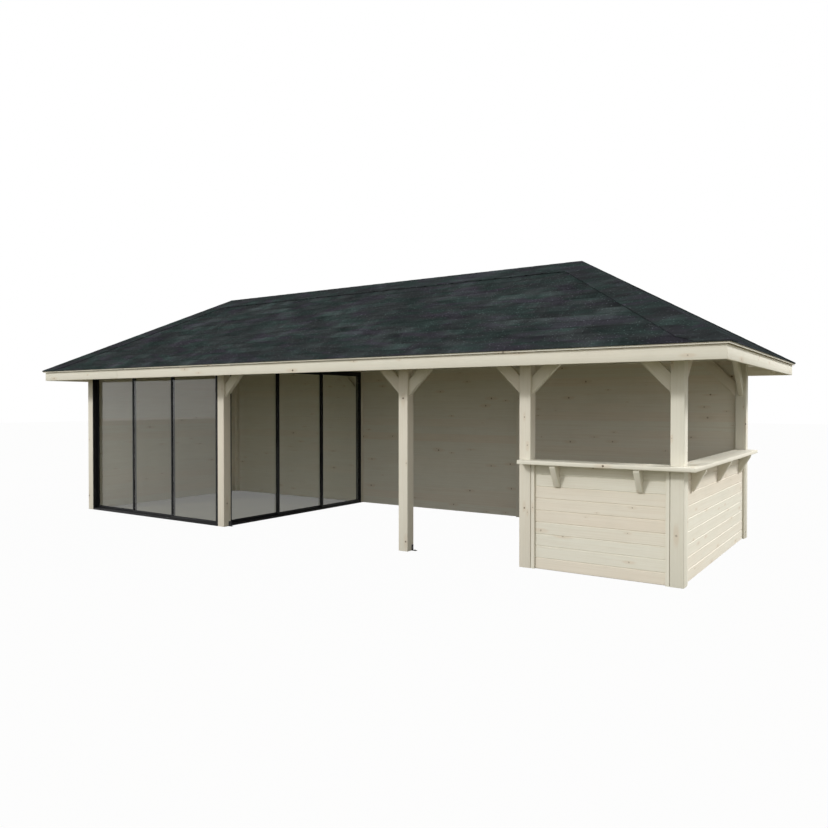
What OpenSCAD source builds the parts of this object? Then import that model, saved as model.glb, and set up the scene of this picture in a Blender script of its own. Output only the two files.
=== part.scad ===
// Garden house: a post and beam pavilion under a hipped, shingled roof.
// It has a glazed room with sliding walls, an open lounge and a bar.
// X runs along the building, the front faces -Y and Z is up.
// The origin is on the ground, under the middle of the roof.

/* [Plan] */
// Spacing of the posts of a short bay; a wide bay is two of them
half_bay = 1460; // [1350:10:1560]
// Depth over the outer faces of the front and back posts
depth = 3040; // [2800:20:3200]
// Side of a square post
post = 120; // [110:5:130]
// Planed edge of a post
ease = 4; // [2:1:8]

/* [Timber frame] */
// Height of the posts, up to the underside of the beams
post_h = 2140; // [2080:10:2240]
// Height of a beam
beam_h = 140; // [120:5:160]
// Reach of a brace, along its post and along its beam
brace_leg = 430; // [380:10:480]
// Width of a brace across its face
brace_w = 120; // [90:5:140]
// Thickness of a brace
brace_t = 55; // [40:5:60]

/* [Roof] */
// Pitch of all four slopes, in degrees
pitch = 30; // [26:1:33]
// How far the shingles reach past the outer faces of the posts
eave_reach = 462; // [420:2:500]
// Height of a rafter over the outer edge of its beam
heel = 73; // [68:1:84]
// Depth of a rafter, square to the slope
rafter_d = 95; // [90:1:100]
// Thickness of a rafter
rafter_t = 45; // [35:1:60]
// Wanted spacing of the rafters
rafter_gap = 584; // [400:4:700]
// Thickness of a hip rafter
hip_t = 60; // [45:1:70]
// Plumb depth of a hip rafter
hip_v = 140; // [132:1:150]
// Thickness of the ridge beam
ridge_t = 60; // [45:1:70]
// Plumb depth of the ridge beam
ridge_h = 180; // [160:5:220]
// Thickness of the roof boards, square to the slope
board_t = 18; // [15:1:22]
// How far the shingles reach past the roof boards at the eaves
drip = 10; // [5:1:20]
// Thickness of the shingles, square to the slope
shingle_t = 6; // [4:1:10]
// Thickness of the ridge and hip caps, square to the slope
cap_t = 8; // [5:1:12]
// Width in plan of a cap, on each side of its ridge or hip
cap_w = 250; // [150:10:300]
// Play between two pieces that lie on each other in a slope or a mitre
lay_gap = 0.2; // [0.1:0.1:0.5]

/* [Fascia] */
// How far the fascia's outer face lies inside the edge of the shingles
fascia_in = 34; // [20:1:60]
// Thickness of a fascia board
fascia_t = 20; // [16:1:26]
// Height of a fascia board
fascia_h = 120; // [100:5:130]
// How far the fascia's lower edge lies below the edge of the roof
fascia_low = 145; // [130:1:160]
// Butt joint of the long fascias, from the middle of the building
fascia_joint = 3070; // [2900:10:3400]
// Open joint between two fascia boards
joint_gap = 2; // [1:1:4]

/* [Boarded walls] */
// Thickness of a boarded wall
panel_t = 32; // [25:1:40]
// How far a boarded wall lies inside the posts' outer faces
panel_set = 28; // [26:1:34]
// Width of the upright battens at a wall's ends
batten_w = 40; // [30:1:60]
// Thickness of a batten
batten_t = 24; // [18:1:26]

/* [Bar] */
// Height of the bar's top face
bar_h = 1067; // [950:1:1150]
// Thickness of the bar top
bar_t = 38; // [28:1:50]
// How far the bar top reaches past the posts' outer faces
bar_reach = 120; // [80:5:180]
// Step from the post's outer corner to the bar top's free end
bar_end = 30; // [10:5:50]
// How far the side top runs along the back post
bar_tail = 60; // [20:5:100]
// Height of a bar bracket
bracket_h = 215; // [150:5:260]
// Thickness of a bar bracket
bracket_t = 55; // [35:5:70]
// Step from the bar top's edge to the tip of a bracket
bracket_back = 20; // [10:5:40]
// Height of a bracket's blunt tip
bracket_tip = 25; // [15:1:40]
// Width of a bracket's foot against the wall
bracket_foot = 20; // [12:1:40]
// Distance from a post to the middle of its nearest bracket
bracket_gap = 270; // [180:5:300]

/* [Foot brackets] */
// Height of the upright leaf
foot_h = 65; // [50:5:90]
// Length of the flat leaf
foot_l = 55; // [40:5:70]
// Width of a foot bracket
foot_w = 35; // [25:1:50]
// Thickness of its steel
foot_t = 3; // [2:1:5]
// Distance of the bracket from the post's back edge
foot_in = 6; // [4:1:20]

/* [Glass walls] */
// Depth of the outer frame
frame_d = 100; // [96:1:110]
// Face width of a jamb
jamb_w = 15; // [12:1:30]
// Height of the sill under its rails
sill_h = 22; // [18:1:30]
// Height of a rail on the sill
rail_h = 8; // [6:1:12]
// Width of a rail
rail_w = 4; // [3:1:6]
// Height of the head
head_h = 44; // [40:1:56]
// Thickness of the head over its channels
head_top = 12; // [8:1:14]
// Width of a channel in the head
channel_w = 28; // [24:1:28]
// Spacing of the three tracks
track_gap = 31; // [30.5:0.1:31.5]
// Thickness of a sliding leaf
leaf_t = 24; // [20:1:24]
// Face width of a leaf's stiles and rails
stile = 25; // [22:1:30]
// How far two neighbouring leaves overlap
overlap = 25; // [22:1:40]
// Free space between a leaf and what it slides past
leaf_gap = 6; // [5.5:0.1:7]
// Thickness of the glass
glass_t = 8; // [6:1:10]
// Depth of the glass in its frame
glazing = 8; // [5:1:12]
// Thickness of the guide on top of a leaf
guide_t = 8; // [6:1:10]
// Radius of a roller
roller_r = 11; // [9:1:14]
// Thickness of a roller
roller_t = 6; // [4:1:8]
// Distance of a roller from the end of its leaf
roller_in = 80; // [60:5:150]
// Running gap between a roller and its rail
run_gap = 0.3; // [0.2:0.1:0.5]

/* [Hidden] */

spruce = [0.85, 0.81, 0.73];
slate = [0.13, 0.15, 0.16];
anthracite = [0.10, 0.11, 0.12];
steel = [0.20, 0.20, 0.21];
tinted = [0.55, 0.57, 0.56, 0.4];

// Post lines, counted in half bays from the middle of the building
front_lines = [-3, -1, 1, 2, 3];
back_lines = [-3, -1, 1, 3];
tie_lines = [-1, 1];
end_line = 3;
partition_line = -1;
lounge_line = 1;
bar_line = 2;

// Outer faces of the timber frame
half_l = end_line * half_bay + post / 2;
half_w = depth / 2;
beam_top = post_h + beam_h;
inner_w = half_w - post;

// Roof: vertical thicknesses, and the outline of the shingles in plan
rise = tan(pitch);
shingle_v = shingle_t / cos(pitch);
board_v = board_t / cos(pitch);
rafter_v = rafter_d / cos(pitch);
cap_v = cap_t / cos(pitch);
cover_v = shingle_v + board_v + 2 * lay_gap;
roof_l = half_l + eave_reach;
roof_w = half_w + eave_reach;
ridge_l = roof_l - roof_w;
eave_z = beam_top + heel + cover_v - eave_reach * rise;
ridge_z = eave_z + roof_w * rise;
tail = fascia_in + fascia_t;
seat = (rafter_v - heel) / rise;
rafter_step = ridge_l / round(ridge_l / rafter_gap);
hip_half = hip_t / sqrt(2);
fascia_z = eave_z - fascia_low;

// Boarded walls, measured from the posts' outer faces
panel_in = panel_set + panel_t;
bar_under = bar_h - bar_t;

// Glass walls: the clear width between two posts, and the leaves in it
wall_front = 2 * half_bay - post;
wall_side = depth - 2 * post;
rail_top = sill_h + rail_h;
leaf_z = rail_top + leaf_gap;
leaf_top = post_h - head_h - leaf_gap;
guide_top = post_h - head_top - leaf_gap;
leaf_h = leaf_top - leaf_z;

function leaf_w(span) = (span - 2 * jamb_w - leaf_gap + 2 * overlap) / 3;
function leaf_at(span, i) = jamb_w + i * (leaf_w(span) - overlap);
function track(i) = frame_d / 2 + (1 - i) * track_gap;
function post_x(line) = line * half_bay;

// A box given by its lowest and highest corners
module block(low, high) {
    translate(low) cube(high - low);
}

// A profile drawn in Y and Z, drawn out along X from the origin
module along_x(len) {
    rotate([90, 0, 90]) linear_extrude(len) children();
}

// A profile drawn in X and Z, drawn out along Y from the origin
module along_y(len) {
    translate([0, len, 0]) rotate([90, 0, 0]) linear_extrude(len) children();
}

// Posts
module post_shaft(x, y) {
    e = post / 2 - ease;
    p = post / 2;
    color(spruce)
        translate([x, y, 0])
            linear_extrude(post_h)
                polygon([[-e, -p], [e, -p], [p, -e], [p, e], [e, p], [-e, p], [-p, e], [-p, -e]]);
}

module front_post(i) {
    post_shaft(post_x(front_lines[i - 1]), post / 2 - half_w);
}

module back_posts() {
    for (line = back_lines)
        post_shaft(post_x(line), half_w - post / 2);
}

// Beams: the long ones run over all posts, the others lie between them
module long_beam(y) {
    color(spruce) block([-half_l, y, post_h], [half_l, y + post, beam_top]);
}

module cross_beams() {
    color(spruce)
        for (line = concat([-end_line], tie_lines, [end_line]))
            block([post_x(line) - post / 2, -inner_w, post_h], [post_x(line) + post / 2, inner_w, beam_top]);
}

// A brace in the X and Z plane, rising away from a post's face at X = 0
module brace() {
    cut = brace_w * sqrt(2);
    translate([0, -brace_t / 2, post_h])
        along_y(brace_t)
            polygon([[0, -brace_leg], [brace_leg, 0], [brace_leg - cut, 0], [0, cut - brace_leg]]);
}

module brace_at(x, y, turn) {
    translate([x, y, 0]) rotate([0, 0, turn]) brace();
}

module braces() {
    front_y = post / 2 - half_w;
    back_y = half_w - panel_in - brace_t / 2;
    half = post / 2;
    color(spruce) {
        for (line = [partition_line, lounge_line, bar_line])
            brace_at(post_x(line) + half, front_y, 0);
        for (line = [lounge_line, bar_line, end_line])
            brace_at(post_x(line) - half, front_y, 180);
        for (line = [partition_line, end_line])
            brace_at(post_x(line) - half, back_y, 180);
        brace_at(post_x(end_line), -inner_w, 90);
        brace_at(post_x(end_line), inner_w, -90);
    }
}

// Boarded walls between the posts
module back_walls() {
    color(spruce)
        for (i = [0 : len(back_lines) - 2])
            block(
                [post_x(back_lines[i]) + post / 2, half_w - panel_in, 0],
                [post_x(back_lines[i + 1]) - post / 2, half_w - panel_set, post_h]
            );
}

module left_wall() {
    color(spruce)
        block([panel_set - half_l, -inner_w, 0], [panel_in - half_l, inner_w, post_h]);
}

module bar_panels() {
    color(spruce) {
        block(
            [post_x(bar_line) + post / 2, panel_set - half_w, 0],
            [half_l - post, panel_in - half_w, bar_under]
        );
        block([half_l - panel_in, -inner_w, 0], [half_l - panel_set, inner_w, bar_under]);
    }
}

// Two upright battens on the outside of a wall that runs from X = 0 to len
module batten_pair(len, height) {
    for (x = [0, len - batten_w])
        block([x, -batten_t, 0], [x + batten_w, 0, height]);
}

module battens() {
    color(spruce) {
        for (i = [0 : len(back_lines) - 2])
            translate([post_x(back_lines[i + 1]) - post / 2, half_w - panel_set, 0])
                rotate([0, 0, 180])
                    batten_pair((back_lines[i + 1] - back_lines[i]) * half_bay - post, post_h);
        translate([panel_set - half_l, inner_w, 0])
            rotate([0, 0, -90]) batten_pair(2 * inner_w, post_h);
        translate([post_x(bar_line) + post / 2, panel_set - half_w, 0])
            batten_pair(half_bay - post, bar_under);
        translate([half_l - panel_set, -inner_w, 0])
            rotate([0, 0, 90]) batten_pair(2 * inner_w, bar_under);
    }
}

// Bar top: two planks, mitred at the corner and notched round the posts
module bar_plank(points) {
    color(spruce) translate([0, 0, bar_under]) linear_extrude(bar_t) polygon(points);
}

module front_bar_top() {
    bar_x = post_x(bar_line);
    bar_plank([
        [bar_x - post / 2 + bar_end, -half_w - bar_reach],
        [half_l + bar_reach, -half_w - bar_reach],
        [half_l, -half_w],
        [half_l - post, -half_w],
        [half_l - post, -inner_w],
        [bar_x + post / 2, -inner_w],
        [bar_x + post / 2, -half_w],
        [bar_x - post / 2 + bar_end, -half_w]
    ]);
}

module side_bar_top() {
    bar_plank([
        [half_l + bar_reach, lay_gap - half_w - bar_reach],
        [half_l + bar_reach, inner_w + bar_tail],
        [half_l, inner_w + bar_tail],
        [half_l, inner_w],
        [half_l - post, inner_w],
        [half_l - post, -inner_w],
        [half_l, -inner_w],
        [half_l, lay_gap - half_w]
    ]);
}

// A bracket that stands out from a wall face at Y = 0 towards -Y
module bar_bracket() {
    reach = bar_reach + panel_set - bracket_back;
    translate([-bracket_t / 2, 0, bar_under])
        along_x(bracket_t)
            polygon([
                [0, 0], [-reach, 0], [-reach, -bracket_tip],
                [-bracket_foot, -bracket_h], [0, -bracket_h]
            ]);
}

module bar_brackets() {
    color(spruce) {
        for (x = [post_x(bar_line) + post / 2 + bracket_gap, half_l - post - bracket_gap])
            translate([x, panel_set - half_w, 0]) bar_bracket();
        for (y = [bracket_gap - inner_w, 0, inner_w - bracket_gap])
            translate([half_l - panel_set, y, 0]) rotate([0, 0, 90]) bar_bracket();
    }
}

// Steel angles at the feet of the two free posts
module foot_brackets() {
    color(steel)
        for (line = [partition_line, lounge_line])
            translate([post_x(line) + post / 2, -inner_w - foot_in - foot_w, 0])
                along_y(foot_w)
                    polygon([[0, 0], [foot_l, 0], [foot_l, foot_t], [foot_t, foot_t], [foot_t, foot_h], [0, foot_h]]);
}

// Roof slopes. Each is drawn in one frame: X along the eave, Y inwards from
// the edge of the shingles, and half is half the length of that edge.
module on_front() {
    translate([0, -roof_w, 0]) children();
}

module on_back() {
    rotate([0, 0, 180]) on_front() children();
}

module on_ends() {
    for (turn = [90, -90])
        rotate([0, 0, turn]) translate([0, -roof_l, 0]) children();
}

// The part of a slope in plan from one depth to another, cut back from the hips
module slope_plan(half, from, to, back) {
    reach = half - back;
    points = to < reach
        ? [[from - reach, from], [reach - from, from], [reach - to, to], [to - reach, to]]
        : [[from - reach, from], [reach - from, from], [0, reach]];
    polygon(points);
}

module slope_cut(half, from, to, back) {
    linear_extrude(ridge_z + cap_v) slope_plan(half, from, to, back);
}

function slope_z(y, down) = eave_z + y * rise - down;

// A layer of a slope between two depths below its outer face
module slope_layer(half, from, down, thick) {
    intersection() {
        translate([-half, 0, 0])
            along_x(2 * half)
                polygon([
                    [from, slope_z(from, down)],
                    [roof_w, slope_z(roof_w, down)],
                    [roof_w, slope_z(roof_w, down + thick)],
                    [from, slope_z(from, down + thick)]
                ]);
        slope_cut(half, from, roof_w, lay_gap);
    }
}

// Common and jack rafters of a slope, notched over the beam
module slope_rafters(half, top_y) {
    under = cover_v + rafter_v;
    count = floor((half - hip_half - tail - rafter_t) / rafter_step);
    color(spruce)
        intersection() {
            for (i = [-count : count])
                translate([i * rafter_step - rafter_t / 2, 0, 0])
                    along_x(rafter_t)
                        polygon([
                            [tail, slope_z(tail, cover_v)],
                            [roof_w, slope_z(roof_w, cover_v)],
                            [roof_w, slope_z(roof_w, under)],
                            [eave_reach + seat, beam_top],
                            [eave_reach, beam_top],
                            [eave_reach, slope_z(eave_reach, under)],
                            [tail, slope_z(tail, under)]
                        ]);
            slope_cut(half, tail, top_y, hip_half + lay_gap);
        }
}

module front_rafters() {
    on_front() slope_rafters(roof_l, roof_w - ridge_t / 2);
}

module back_rafters() {
    on_back() slope_rafters(roof_l, roof_w - ridge_t / 2);
}

module end_rafters() {
    on_ends() slope_rafters(roof_w, roof_w);
}

// A corner of the roof: X and Y run inwards from the corner of the shingles
module at_corner(sx, sy) {
    translate([sx * roof_l, sy * roof_w, 0])
        mirror([sx > 0 ? 1 : 0, 0, 0])
            mirror([0, sy > 0 ? 1 : 0, 0])
                children();
}

// The space under a slope's boards, for the backing bevels of hips and ridge
module under_boards() {
    polygon([[0, 0], [0, slope_z(0, cover_v)], [roof_w, slope_z(roof_w, cover_v)], [roof_w, 0]]);
}

module hip_rafter() {
    band = hip_half;
    diagonal = roof_w * sqrt(2);
    difference() {
        intersection() {
            linear_extrude(ridge_z)
                polygon([
                    [tail, tail], [tail + band, tail], [roof_w, roof_w - band],
                    [roof_w, roof_w], [roof_w - band, roof_w], [tail, tail + band]
                ]);
            along_x(roof_w) under_boards();
            along_y(roof_w) under_boards();
            rotate([0, 0, 45])
                translate([0, -hip_t, 0])
                    along_y(2 * hip_t)
                        polygon([
                            [0, slope_z(0, cover_v + hip_v)],
                            [diagonal, slope_z(roof_w, cover_v + hip_v)],
                            [diagonal, ridge_z],
                            [0, ridge_z]
                        ]);
        }
        for (long = [[2 * post, post], [post, 2 * post]])
            block([eave_reach, eave_reach, post_h], [eave_reach + long[0], eave_reach + long[1], beam_top]);
    }
}

module hip_rafters() {
    color(spruce)
        for (sx = [-1, 1], sy = [-1, 1])
            at_corner(sx, sy) hip_rafter();
}

module ridge_beam() {
    top = ridge_z - cover_v;
    side = top - ridge_t / 2 * rise;
    color(spruce)
        translate([-ridge_l, 0, 0])
            along_x(2 * ridge_l)
                polygon([
                    [-ridge_t / 2, top - ridge_h], [ridge_t / 2, top - ridge_h],
                    [ridge_t / 2, side], [0, top], [-ridge_t / 2, side]
                ]);
}

// Roof boards and shingles
module slope_boards(half) {
    color(spruce) slope_layer(half, drip, shingle_v + lay_gap, board_v);
}

module slope_shingles(half) {
    color(slate) slope_layer(half, 0, 0, shingle_v);
}

// Everything under the four slopes, raised by up and widened by out
module hipped_body(up, out) {
    low = eave_z - fascia_low - out;
    edge = eave_z + up - out * rise;
    intersection() {
        translate([-roof_l - out, 0, 0])
            along_x(2 * (roof_l + out))
                polygon([
                    [-roof_w - out, low], [roof_w + out, low], [roof_w + out, edge],
                    [0, ridge_z + up], [-roof_w - out, edge]
                ]);
        translate([0, -roof_w - out, 0])
            along_y(2 * (roof_w + out))
                polygon([
                    [-roof_l - out, low], [roof_l + out, low], [roof_l + out, edge],
                    [ridge_l, ridge_z + up], [-ridge_l, ridge_z + up], [-roof_l - out, edge]
                ]);
    }
}

// Caps: one band along the ridge and one down each hip, folded over the edges
module ridge_and_hip_caps() {
    side = cap_w * sqrt(2);
    color(slate)
        intersection() {
            difference() {
                hipped_body(cap_v + lay_gap, 0);
                hipped_body(lay_gap, drip);
            }
            union() {
                block([-ridge_l, -cap_w, 0], [ridge_l, cap_w, ridge_z + 2 * cap_v]);
                for (sx = [-1, 1], sy = [-1, 1])
                    at_corner(sx, sy)
                        linear_extrude(ridge_z + 2 * cap_v)
                            polygon([
                                [0, 0], [side, 0], [roof_w + side, roof_w],
                                [roof_w, roof_w + side], [0, side]
                            ]);
            }
        }
}

// Fascia boards, mitred at the corners
module slope_fascia(half) {
    color(spruce)
        translate([0, 0, fascia_z])
            linear_extrude(fascia_h)
                slope_plan(half, tail - fascia_t, tail, lay_gap);
}

module long_fascias() {
    for (turn = [0, 180])
        rotate([0, 0, turn])
            difference() {
                on_front() slope_fascia(roof_l);
                block(
                    [-fascia_joint - joint_gap, -roof_w, 0],
                    [-fascia_joint, -half_w, ridge_z]
                );
            }
}

module end_fascias() {
    on_ends() slope_fascia(roof_w);
}

// Glass walls. Each is drawn in one frame: X along the wall from its left end
// as seen from outside, Y inwards from its outer face.
module on_front_wall() {
    translate([post_x(-end_line) + post / 2, -half_w, 0]) children();
}

module on_side_wall() {
    translate([post_x(partition_line) + post / 2, -inner_w, 0]) rotate([0, 0, 90]) children();
}

module wall_jambs(span) {
    color(anthracite)
        for (x = [0, span - jamb_w])
            block([x, 0, 0], [x + jamb_w, frame_d, post_h]);
}

module wall_sill(span) {
    color(anthracite)
        translate([jamb_w, 0, 0])
            along_x(span - 2 * jamb_w)
                union() {
                    square([frame_d, sill_h]);
                    for (i = [0 : 2])
                        translate([track(i) - rail_w / 2, 0]) square([rail_w, rail_top]);
                }
}

module wall_head(span) {
    color(anthracite)
        translate([jamb_w, 0, post_h - head_h])
            along_x(span - 2 * jamb_w)
                difference() {
                    square([frame_d, head_h]);
                    for (i = [0 : 2])
                        translate([track(i) - channel_w / 2, -1])
                            square([channel_w, head_h - head_top + 1]);
                }
}

module glass_wall_jambs() {
    on_front_wall() wall_jambs(wall_front);
    on_side_wall() wall_jambs(wall_side);
}

module glass_wall_heads() {
    on_front_wall() wall_head(wall_front);
    on_side_wall() wall_head(wall_side);
}

module glass_wall_sills() {
    on_front_wall() wall_sill(wall_front);
    on_side_wall() wall_sill(wall_side);
}

// The pane, set into the grooves of its leaf; X and Z start at the leaf's corner
module pane_block(span) {
    edge = stile - glazing;
    block([edge, -glass_t / 2, edge], [leaf_w(span) - edge, glass_t / 2, leaf_h - edge]);
}

module at_leaf(span, i) {
    translate([leaf_at(span, i), track(i), leaf_z]) children();
}

module leaf_frame(span, i) {
    width = leaf_w(span);
    hub = rail_top + run_gap + roller_r - leaf_z;
    color(anthracite)
        at_leaf(span, i) {
            difference() {
                block([0, -leaf_t / 2, 0], [width, leaf_t / 2, leaf_h]);
                block([stile, -leaf_t, stile], [width - stile, leaf_t, leaf_h - stile]);
                pane_block(span);
            }
            block([0, -guide_t / 2, leaf_h], [width, guide_t / 2, guide_top - leaf_z]);
            for (x = [roller_in, width - roller_in])
                translate([x, roller_t / 2, hub])
                    rotate([90, 0, 0]) cylinder(r = roller_r, h = roller_t, $fn = 32);
        }
}

module leaf_pane(span, i) {
    color(tinted) at_leaf(span, i) pane_block(span);
}

module fixed_leaf_frames() {
    on_front_wall() leaf_frame(wall_front, 0);
    on_side_wall() leaf_frame(wall_side, 0);
}

module fixed_leaf_panes() {
    on_front_wall() leaf_pane(wall_front, 0);
    on_side_wall() leaf_pane(wall_side, 0);
}

front_post(1);  // front_post_1
front_post(2);  // front_post_2
front_post(3);  // front_post_3
front_post(4);  // front_post_4
front_post(5);  // front_post_5
back_posts();
long_beam(-half_w);  // front_beam
long_beam(inner_w);  // back_beam
cross_beams();
braces();
back_walls();
left_wall();
bar_panels();
battens();
front_bar_top();
side_bar_top();
bar_brackets();
foot_brackets();
ridge_beam();
hip_rafters();
front_rafters();
back_rafters();
end_rafters();
on_front() slope_boards(roof_l);  // front_roof_boards
on_back() slope_boards(roof_l);  // back_roof_boards
on_ends() slope_boards(roof_w);  // end_roof_boards
on_front() slope_shingles(roof_l);  // front_shingles
on_back() slope_shingles(roof_l);  // back_shingles
on_ends() slope_shingles(roof_w);  // end_shingles
ridge_and_hip_caps();
long_fascias();
end_fascias();
glass_wall_jambs();
glass_wall_heads();
glass_wall_sills();
fixed_leaf_frames();
fixed_leaf_panes();
on_front_wall() leaf_frame(wall_front, 1);  // front_middle_leaf_frame
on_front_wall() leaf_pane(wall_front, 1);  // front_middle_leaf_pane
on_front_wall() leaf_frame(wall_front, 2);  // front_end_leaf_frame
on_front_wall() leaf_pane(wall_front, 2);  // front_end_leaf_pane
on_side_wall() leaf_frame(wall_side, 1);  // side_middle_leaf_frame
on_side_wall() leaf_pane(wall_side, 1);  // side_middle_leaf_pane
on_side_wall() leaf_frame(wall_side, 2);  // side_end_leaf_frame
on_side_wall() leaf_pane(wall_side, 2);  // side_end_leaf_pane
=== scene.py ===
import bmesh
import bpy
import math
import random
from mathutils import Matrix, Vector


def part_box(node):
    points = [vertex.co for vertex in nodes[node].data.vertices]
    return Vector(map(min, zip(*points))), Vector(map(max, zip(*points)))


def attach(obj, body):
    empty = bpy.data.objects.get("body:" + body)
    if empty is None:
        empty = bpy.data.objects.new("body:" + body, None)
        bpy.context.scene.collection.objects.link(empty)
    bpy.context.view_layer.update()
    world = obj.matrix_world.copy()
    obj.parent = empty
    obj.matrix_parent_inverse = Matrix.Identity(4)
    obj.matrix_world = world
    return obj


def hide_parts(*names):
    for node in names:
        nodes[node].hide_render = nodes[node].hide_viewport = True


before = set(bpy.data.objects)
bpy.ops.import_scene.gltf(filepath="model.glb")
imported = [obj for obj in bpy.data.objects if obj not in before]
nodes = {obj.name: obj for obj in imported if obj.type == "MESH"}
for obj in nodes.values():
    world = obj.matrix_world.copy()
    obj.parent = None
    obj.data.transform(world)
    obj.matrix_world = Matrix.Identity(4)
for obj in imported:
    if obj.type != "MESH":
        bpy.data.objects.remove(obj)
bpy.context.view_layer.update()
print("frame loaded:", len(nodes), "nodes")


# Camera, at the photograph's viewing angle

cameraSetup = {
    "place": (6.0601, -8.1596, 1.6094),
    "pitchDown": 0.0129,
    "turn": 0.5909,
    "lens": 32.07,
    "sensor": 36.0,
}


def placeCamera(values):
    data = bpy.data.cameras.new("viewCamera")
    data.lens = values["lens"]
    data.sensor_width = values["sensor"]
    data.clip_end = 200
    camera = bpy.data.objects.new("viewCamera", data)
    camera.location = values["place"]
    camera.rotation_euler = (math.pi / 2 - values["pitchDown"], 0, values["turn"])
    bpy.context.scene.collection.objects.link(camera)
    bpy.context.scene.camera = camera


placeCamera(cameraSetup)
bpy.context.scene.view_settings.view_transform = "Standard"
print("camera placed")


# Node helpers

def addNode(tree, kind, **settings):
    node = tree.nodes.new(kind)
    for name, value in settings.items():
        setattr(node, name, value)
    return node


def feed(tree, socket, value):
    if isinstance(value, bpy.types.NodeSocket):
        tree.links.new(value, socket)
    else:
        socket.default_value = value


def mathNode(tree, operation, first, second=0.0, clamp=False):
    node = addNode(tree, "ShaderNodeMath", operation=operation, use_clamp=clamp)
    feed(tree, node.inputs[0], first)
    feed(tree, node.inputs[1], second)
    return node.outputs[0]


def times(tree, first, second, clamp=False):
    return mathNode(tree, "MULTIPLY", first, second, clamp)


def plus(tree, first, second):
    return mathNode(tree, "ADD", first, second)


def swing(tree, value, middle, amount):  # how far a value lies from its middle, times an amount
    return times(tree, mathNode(tree, "SUBTRACT", value, middle), amount)


def remap(tree, value, low, high, outLow=0.0, outHigh=1.0, smooth=True):
    node = addNode(tree, "ShaderNodeMapRange", interpolation_type="SMOOTHSTEP" if smooth else "LINEAR")
    for socket, entry in zip(node.inputs, (value, low, high, outLow, outHigh)):
        feed(tree, socket, entry)
    return node.outputs[0]


def mixColour(tree, factor, first, second, blend="MIX"):
    node = addNode(tree, "ShaderNodeMix", data_type="RGBA", blend_type=blend)
    feed(tree, node.inputs[0], factor)
    feed(tree, node.inputs[6], first)
    feed(tree, node.inputs[7], second)
    return node.outputs[2]


def setInputs(node, values):
    for name, value in values.items():
        node.inputs[name].default_value = value


def noise(tree, position, scale, detail=3.0, roughness=0.55, distortion=0.0):
    node = addNode(tree, "ShaderNodeTexNoise")
    feed(tree, node.inputs["Vector"], position)
    setInputs(node, {"Scale": scale, "Detail": detail, "Roughness": roughness, "Distortion": distortion})
    return node.outputs[0]


def vectorNode(tree, operation, first, second=(0, 0, 0)):
    node = addNode(tree, "ShaderNodeVectorMath", operation=operation)
    feed(tree, node.inputs[0], first)
    feed(tree, node.inputs[1], second)
    return node


def stretched(tree, position, factors):
    return vectorNode(tree, "MULTIPLY", position, factors).outputs[0]


def splitPosition(tree, position):
    node = addNode(tree, "ShaderNodeSeparateXYZ")
    feed(tree, node.inputs[0], position)
    return node.outputs


def joinPosition(tree, x, y):
    node = addNode(tree, "ShaderNodeCombineXYZ")
    feed(tree, node.inputs[0], x)
    feed(tree, node.inputs[1], y)
    return node.outputs[0]


def startGroup(name, inputs, outputs):
    group = bpy.data.node_groups.new(name, "ShaderNodeTree")
    kinds = {"colour": "NodeSocketColor", "value": "NodeSocketFloat", "vector": "NodeSocketVector"}
    for label, kind, value in inputs:
        socket = group.interface.new_socket(name=label, in_out="INPUT", socket_type=kinds[kind])
        if value is not None:
            socket.default_value = value
    for label, kind in outputs:
        group.interface.new_socket(name=label, in_out="OUTPUT", socket_type=kinds[kind])
    return group, group.nodes.new("NodeGroupInput").outputs, group.nodes.new("NodeGroupOutput").inputs


def placeGroup(tree, group, **values):
    node = addNode(tree, "ShaderNodeGroup", node_tree=group)
    for label, value in values.items():
        feed(tree, node.inputs[label], value)
    return node.outputs


# Shader groups, each used by more than one material

stainShape = {"wide": 1.7, "wideShare": 0.65, "fine": 11.0, "fineShare": 0.35, "from": 0.40, "to": 0.68}


def makeUnevenTone(values):
    group, given, out = startGroup(
        "unevenTone",
        [("Colour", "colour", (0.5, 0.5, 0.5, 1)), ("Position", "vector", None),
         ("Stain", "colour", (0.3, 0.3, 0.3, 1)), ("Amount", "value", 0.2)],
        [("Colour", "colour"), ("Mask", "value")],
    )
    wide = times(group, noise(group, given["Position"], values["wide"], 2.0), values["wideShare"])
    fine = times(group, noise(group, given["Position"], values["fine"], 3.0), values["fineShare"])
    mask = remap(group, plus(group, wide, fine), values["from"], values["to"])
    amount = times(group, mask, given["Amount"])
    feed(group, out["Colour"], mixColour(group, amount, given["Colour"], given["Stain"]))
    feed(group, out["Mask"], mask)
    return group


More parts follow.
